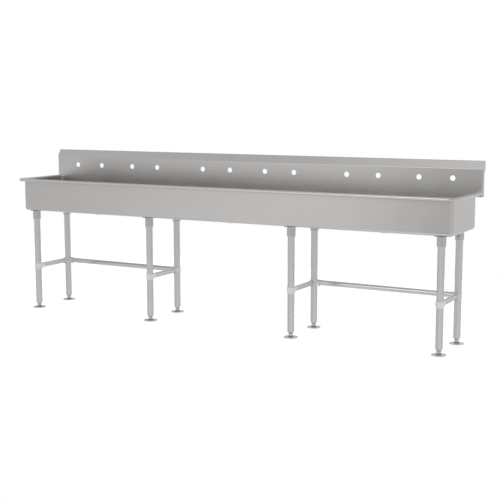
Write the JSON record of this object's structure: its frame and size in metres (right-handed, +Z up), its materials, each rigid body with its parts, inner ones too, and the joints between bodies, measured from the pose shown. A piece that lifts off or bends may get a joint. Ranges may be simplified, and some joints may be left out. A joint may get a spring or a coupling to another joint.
{
  "type": "trough sink",
  "caption": "Long wall-side stainless hand-wash trough with a faucet-hole splash, rolled rim, tube legs, tie rails and adjustable flanged feet.",
  "frame": {"origin": "on the floor under the middle of the sink's outline, half way between the front of the rim and the wall side", "axes": "+X to the right as a user faces the sink, +Y towards the wall, +Z up"},
  "size_m": [3.048, 0.4805, 1.052],
  "materials": {
    "sheet_steel": "brushed, satin",
    "socket_steel": "turned, satin",
    "tube_steel": "polished along the tube, satin",
    "cast_fitting": "cast, light satin",
    "black_screw": "black oxide",
    "foot_steel": "turned, satin",
    "drain_steel": "turned, satin",
    "gasket": "matt"
  },
  "bodies": {
    "sink": {"trough_channel": "sheet_steel", "end_cap_left": "sheet_steel", "end_cap_right": "sheet_steel", "backsplash": "sheet_steel", "splash_end_left": "sheet_steel", "splash_end_right": "sheet_steel", "leg_plate_1": "sheet_steel", "leg_plate_2": "sheet_steel", "leg_plate_3": "sheet_steel", "leg_plate_4": "sheet_steel", "leg_sockets_front": "socket_steel", "leg_sockets_rear": "socket_steel", "leg_front_1": "tube_steel", "leg_front_2": "tube_steel", "leg_front_3": "tube_steel", "leg_front_4": "tube_steel", "leg_rear_1": "tube_steel", "leg_rear_2": "tube_steel", "leg_rear_3": "tube_steel", "leg_rear_4": "tube_steel", "side_rail_1": "tube_steel", "side_rail_2": "tube_steel", "side_rail_3": "tube_steel", "side_rail_4": "tube_steel", "rear_rail_left": "tube_steel", "rear_rail_right": "tube_steel", "rail_tee_front_1": "cast_fitting", "rail_tee_front_2": "cast_fitting", "rail_tee_front_3": "cast_fitting", "rail_tee_front_4": "cast_fitting", "rail_corner_rear_1": "cast_fitting", "rail_corner_rear_2": "cast_fitting", "rail_corner_rear_3": "cast_fitting", "rail_corner_rear_4": "cast_fitting", "drain_locknuts": "cast_fitting", "socket_set_screws": "black_screw", "fitting_set_screws": "black_screw", "foot_inserts": "foot_steel", "drain_bodies": "drain_steel", "drain_gaskets": "gasket"},
    "base_front_1": {"foot_flange_front_1": "foot_steel"},
    "screw_front_1": {"foot_screw_front_1": "foot_steel"},
    "base_front_2": {"foot_flange_front_2": "foot_steel"},
    "screw_front_2": {"foot_screw_front_2": "foot_steel"},
    "base_front_3": {"foot_flange_front_3": "foot_steel"},
    "screw_front_3": {"foot_screw_front_3": "foot_steel"},
    "base_front_4": {"foot_flange_front_4": "foot_steel"},
    "screw_front_4": {"foot_screw_front_4": "foot_steel"},
    "base_rear_1": {"foot_flange_rear_1": "foot_steel"},
    "screw_rear_1": {"foot_screw_rear_1": "foot_steel"},
    "base_rear_2": {"foot_flange_rear_2": "foot_steel"},
    "screw_rear_2": {"foot_screw_rear_2": "foot_steel"},
    "base_rear_3": {"foot_flange_rear_3": "foot_steel"},
    "screw_rear_3": {"foot_screw_rear_3": "foot_steel"},
    "base_rear_4": {"foot_flange_rear_4": "foot_steel"},
    "screw_rear_4": {"foot_screw_rear_4": "foot_steel"},
    "strainer_left": {"drain_strainer_left": "drain_steel"},
    "strainer_centre": {"drain_strainer_centre": "drain_steel"},
    "strainer_right": {"drain_strainer_right": "drain_steel"}
  },
  "joints": [
    {"name": "foot_height_front_1", "type": "slide", "parent": "sink", "child": "base_front_1", "axis": [0, 0, -1], "range_m": [0, 0.0254]},
    {"name": "foot_turn_front_1", "type": "hinge", "parent": "base_front_1", "child": "screw_front_1", "pos_m": [-1.413, -0.16615, 0.015], "axis": [0, 0, -1], "range_deg": [0, 3600]},
    {"name": "foot_height_front_2", "type": "slide", "parent": "sink", "child": "base_front_2", "axis": [0, 0, -1], "range_m": [0, 0.0254]},
    {"name": "foot_turn_front_2", "type": "hinge", "parent": "base_front_2", "child": "screw_front_2", "pos_m": [-0.501, -0.16615, 0.015], "axis": [0, 0, -1], "range_deg": [0, 3600]},
    {"name": "foot_height_front_3", "type": "slide", "parent": "sink", "child": "base_front_3", "axis": [0, 0, -1], "range_m": [0, 0.0254]},
    {"name": "foot_turn_front_3", "type": "hinge", "parent": "base_front_3", "child": "screw_front_3", "pos_m": [0.501, -0.16615, 0.015], "axis": [0, 0, -1], "range_deg": [0, 3600]},
    {"name": "foot_height_front_4", "type": "slide", "parent": "sink", "child": "base_front_4", "axis": [0, 0, -1], "range_m": [0, 0.0254]},
    {"name": "foot_turn_front_4", "type": "hinge", "parent": "base_front_4", "child": "screw_front_4", "pos_m": [1.413, -0.16615, 0.015], "axis": [0, 0, -1], "range_deg": [0, 3600]},
    {"name": "foot_height_rear_1", "type": "slide", "parent": "sink", "child": "base_rear_1", "axis": [0, 0, -1], "range_m": [0, 0.0254]},
    {"name": "foot_turn_rear_1", "type": "hinge", "parent": "base_rear_1", "child": "screw_rear_1", "pos_m": [-1.413, 0.15025, 0.015], "axis": [0, 0, -1], "range_deg": [0, 3600]},
    {"name": "foot_height_rear_2", "type": "slide", "parent": "sink", "child": "base_rear_2", "axis": [0, 0, -1], "range_m": [0, 0.0254]},
    {"name": "foot_turn_rear_2", "type": "hinge", "parent": "base_rear_2", "child": "screw_rear_2", "pos_m": [-0.501, 0.15025, 0.015], "axis": [0, 0, -1], "range_deg": [0, 3600]},
    {"name": "foot_height_rear_3", "type": "slide", "parent": "sink", "child": "base_rear_3", "axis": [0, 0, -1], "range_m": [0, 0.0254]},
    {"name": "foot_turn_rear_3", "type": "hinge", "parent": "base_rear_3", "child": "screw_rear_3", "pos_m": [0.501, 0.15025, 0.015], "axis": [0, 0, -1], "range_deg": [0, 3600]},
    {"name": "foot_height_rear_4", "type": "slide", "parent": "sink", "child": "base_rear_4", "axis": [0, 0, -1], "range_m": [0, 0.0254]},
    {"name": "foot_turn_rear_4", "type": "hinge", "parent": "base_rear_4", "child": "screw_rear_4", "pos_m": [1.413, 0.15025, 0.015], "axis": [0, 0, -1], "range_deg": [0, 3600]},
    {"name": "strainer_lift_left", "type": "slide", "parent": "sink", "child": "strainer_left", "axis": [0, 0, 1], "range_m": [0, 0.25]},
    {"name": "strainer_lift_centre", "type": "slide", "parent": "sink", "child": "strainer_centre", "axis": [0, 0, 1], "range_m": [0, 0.25]},
    {"name": "strainer_lift_right", "type": "slide", "parent": "sink", "child": "strainer_right", "axis": [0, 0, 1], "range_m": [0, 0.25]}
  ],
  "couplings": [
    {"joint": "foot_turn_front_1", "follows": "foot_height_front_1", "rad_per_m": 2473.7},
    {"joint": "foot_turn_front_2", "follows": "foot_height_front_2", "rad_per_m": 2473.7},
    {"joint": "foot_turn_front_3", "follows": "foot_height_front_3", "rad_per_m": 2473.7},
    {"joint": "foot_turn_front_4", "follows": "foot_height_front_4", "rad_per_m": 2473.7},
    {"joint": "foot_turn_rear_1", "follows": "foot_height_rear_1", "rad_per_m": 2473.7},
    {"joint": "foot_turn_rear_2", "follows": "foot_height_rear_2", "rad_per_m": 2473.7},
    {"joint": "foot_turn_rear_3", "follows": "foot_height_rear_3", "rad_per_m": 2473.7},
    {"joint": "foot_turn_rear_4", "follows": "foot_height_rear_4", "rad_per_m": 2473.7}
  ]
}
